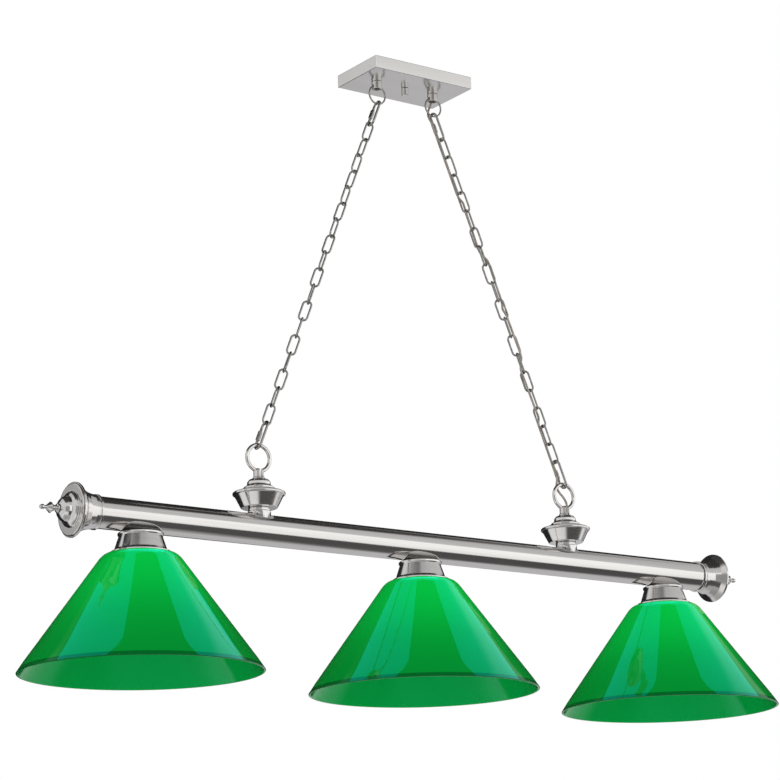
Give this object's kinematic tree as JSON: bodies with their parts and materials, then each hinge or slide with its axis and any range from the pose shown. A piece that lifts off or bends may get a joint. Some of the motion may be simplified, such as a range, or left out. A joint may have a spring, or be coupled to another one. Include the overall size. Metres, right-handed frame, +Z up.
{
  "type": "pool table lamp",
  "caption": "Hanging bar lamp with cone shades, a box canopy and two chains, for over a pool table.",
  "frame": {"origin": "centre of the mounting strap's top face, in the plane of the ceiling", "axes": "+X along the bar, +Z up into the ceiling, +Y across the bar"},
  "size_m": [1.358, 0.356, 1.0085],
  "materials": {
    "brushed_nickel": "brushed nickel plate, satin to bright",
    "steel": "zinc plated",
    "brass": "plain brass",
    "green_glass": "green, smooth and glossy",
    "phenolic": "moulded black",
    "clear_cord": "clear jacket over tinned wire",
    "wiring": "satin insulation",
    "ground_green": "green coated screw"
  },
  "bodies": {
    "canopy_assembly": {"mounting_strap": "steel", "ground_screw": "ground_green", "canopy_stud": "steel", "canopy": "brushed_nickel", "loop_nipple_left": "brass", "loop_nipple_right": "brass", "lock_nut_left": "brass", "lock_nut_right": "brass", "ferrule_left": "brushed_nickel", "ferrule_right": "brushed_nickel"},
    "canopy_nut": {"canopy_nut": "brushed_nickel"},
    "top_rings": {"top_ring_left": "brushed_nickel", "top_ring_right": "brushed_nickel"},
    "right_chain": {"top_quick_link_right": "brushed_nickel", "chain_right": "brushed_nickel", "power_cord": "clear_cord"},
    "right_lower_link": {"bottom_quick_link_right": "brushed_nickel"},
    "left_chain": {"top_quick_link_left": "brushed_nickel", "chain_left": "brushed_nickel"},
    "left_lower_link": {"bottom_quick_link_left": "brushed_nickel"},
    "bar": {"bar_tube": "brushed_nickel", "wiring_harness": "wiring", "base_neck_left": "brushed_nickel", "base_neck_right": "brushed_nickel", "holder_cup_left": "brushed_nickel", "holder_cup_right": "brushed_nickel", "dome_cap_left": "brushed_nickel", "dome_cap_right": "brushed_nickel", "lower_loop_left": "brushed_nickel", "lower_loop_right": "brushed_nickel", "holder_nipple_left": "brass", "holder_nipple_right": "brass", "holder_nut_left": "brass", "holder_nut_right": "brass", "end_bell_left": "brushed_nickel", "end_bell_right": "brushed_nickel", "end_cover_left": "brushed_nickel", "end_cover_right": "brushed_nickel", "end_anchor_left": "steel", "end_anchor_right": "steel", "lamp_nipple_left": "brass", "lamp_nipple_middle": "brass", "lamp_nipple_right": "brass", "shade_fitter_left": "brushed_nickel", "shade_fitter_middle": "brushed_nickel", "shade_fitter_right": "brushed_nickel", "lamp_socket_left": "phenolic", "lamp_socket_middle": "phenolic", "lamp_socket_right": "phenolic", "screw_shell_left": "brass", "screw_shell_middle": "brass", "screw_shell_right": "brass", "shade_left": "green_glass", "shade_middle": "green_glass", "shade_right": "green_glass"},
    "finial_left": {"finial_left": "brushed_nickel"},
    "finial_right": {"finial_right": "brushed_nickel"},
    "shade_ring_left": {"shade_ring_left": "phenolic"},
    "shade_ring_middle": {"shade_ring_middle": "phenolic"},
    "shade_ring_right": {"shade_ring_right": "phenolic"}
  },
  "joints": [
    {"name": "lamp_swing", "type": "hinge", "parent": "canopy_assembly", "child": "top_rings", "pos_m": [0, 0, -0.0276], "axis": [1, 0, 0], "range_deg": [-20, 20], "deforming": ["power_cord"]},
    {"name": "lamp_sway", "type": "hinge", "parent": "top_rings", "child": "right_chain", "pos_m": [0.056, 0, -0.0586], "axis": [0, 1, 0], "range_deg": [-6, 6]},
    {"name": "left_chain_sway", "type": "hinge", "parent": "top_rings", "child": "left_chain", "pos_m": [-0.056, 0, -0.0586], "axis": [0, 1, 0], "range_deg": [-6, 6]},
    {"name": "right_link_turn", "type": "hinge", "parent": "right_chain", "child": "right_lower_link", "pos_m": [0.28144, 0, -0.61507], "axis": [0, 1, 0], "range_deg": [-1.2, 1.2]},
    {"name": "left_link_turn", "type": "hinge", "parent": "left_chain", "child": "left_lower_link", "pos_m": [-0.28144, 0, -0.61507], "axis": [0, 1, 0], "range_deg": [-1.2, 1.2]},
    {"name": "bar_rock", "type": "hinge", "parent": "right_lower_link", "child": "bar", "pos_m": [0.296, 0, -0.651], "axis": [1, 0, 0], "range_deg": [-20, 20]},
    {"name": "canopy_nut_turn", "type": "hinge", "parent": "canopy_assembly", "child": "canopy_nut", "pos_m": [0, 0, -0.0273], "axis": [0, 0, 1], "continuous": true},
    {"name": "finial_left_turn", "type": "hinge", "parent": "bar", "child": "finial_left", "pos_m": [-0.65, 0, -0.781], "axis": [1, 0, 0], "continuous": true},
    {"name": "finial_right_turn", "type": "hinge", "parent": "bar", "child": "finial_right", "pos_m": [0.65, 0, -0.781], "axis": [1, 0, 0], "continuous": true},
    {"name": "shade_ring_left_turn", "type": "hinge", "parent": "bar", "child": "shade_ring_left", "pos_m": [-0.501, 0, -0.8418], "axis": [0, 0, 1], "continuous": true},
    {"name": "shade_ring_middle_turn", "type": "hinge", "parent": "bar", "child": "shade_ring_middle", "pos_m": [0, 0, -0.8418], "axis": [0, 0, 1], "continuous": true},
    {"name": "shade_ring_right_turn", "type": "hinge", "parent": "bar", "child": "shade_ring_right", "pos_m": [0.501, 0, -0.8418], "axis": [0, 0, 1], "continuous": true}
  ],
  "couplings": [
    {"joint": "left_chain_sway", "follows": "lamp_sway", "ratio": 1},
    {"joint": "right_link_turn", "follows": "lamp_sway", "ratio": -0.199},
    {"joint": "left_link_turn", "follows": "lamp_sway", "ratio": -0.199}
  ]
}
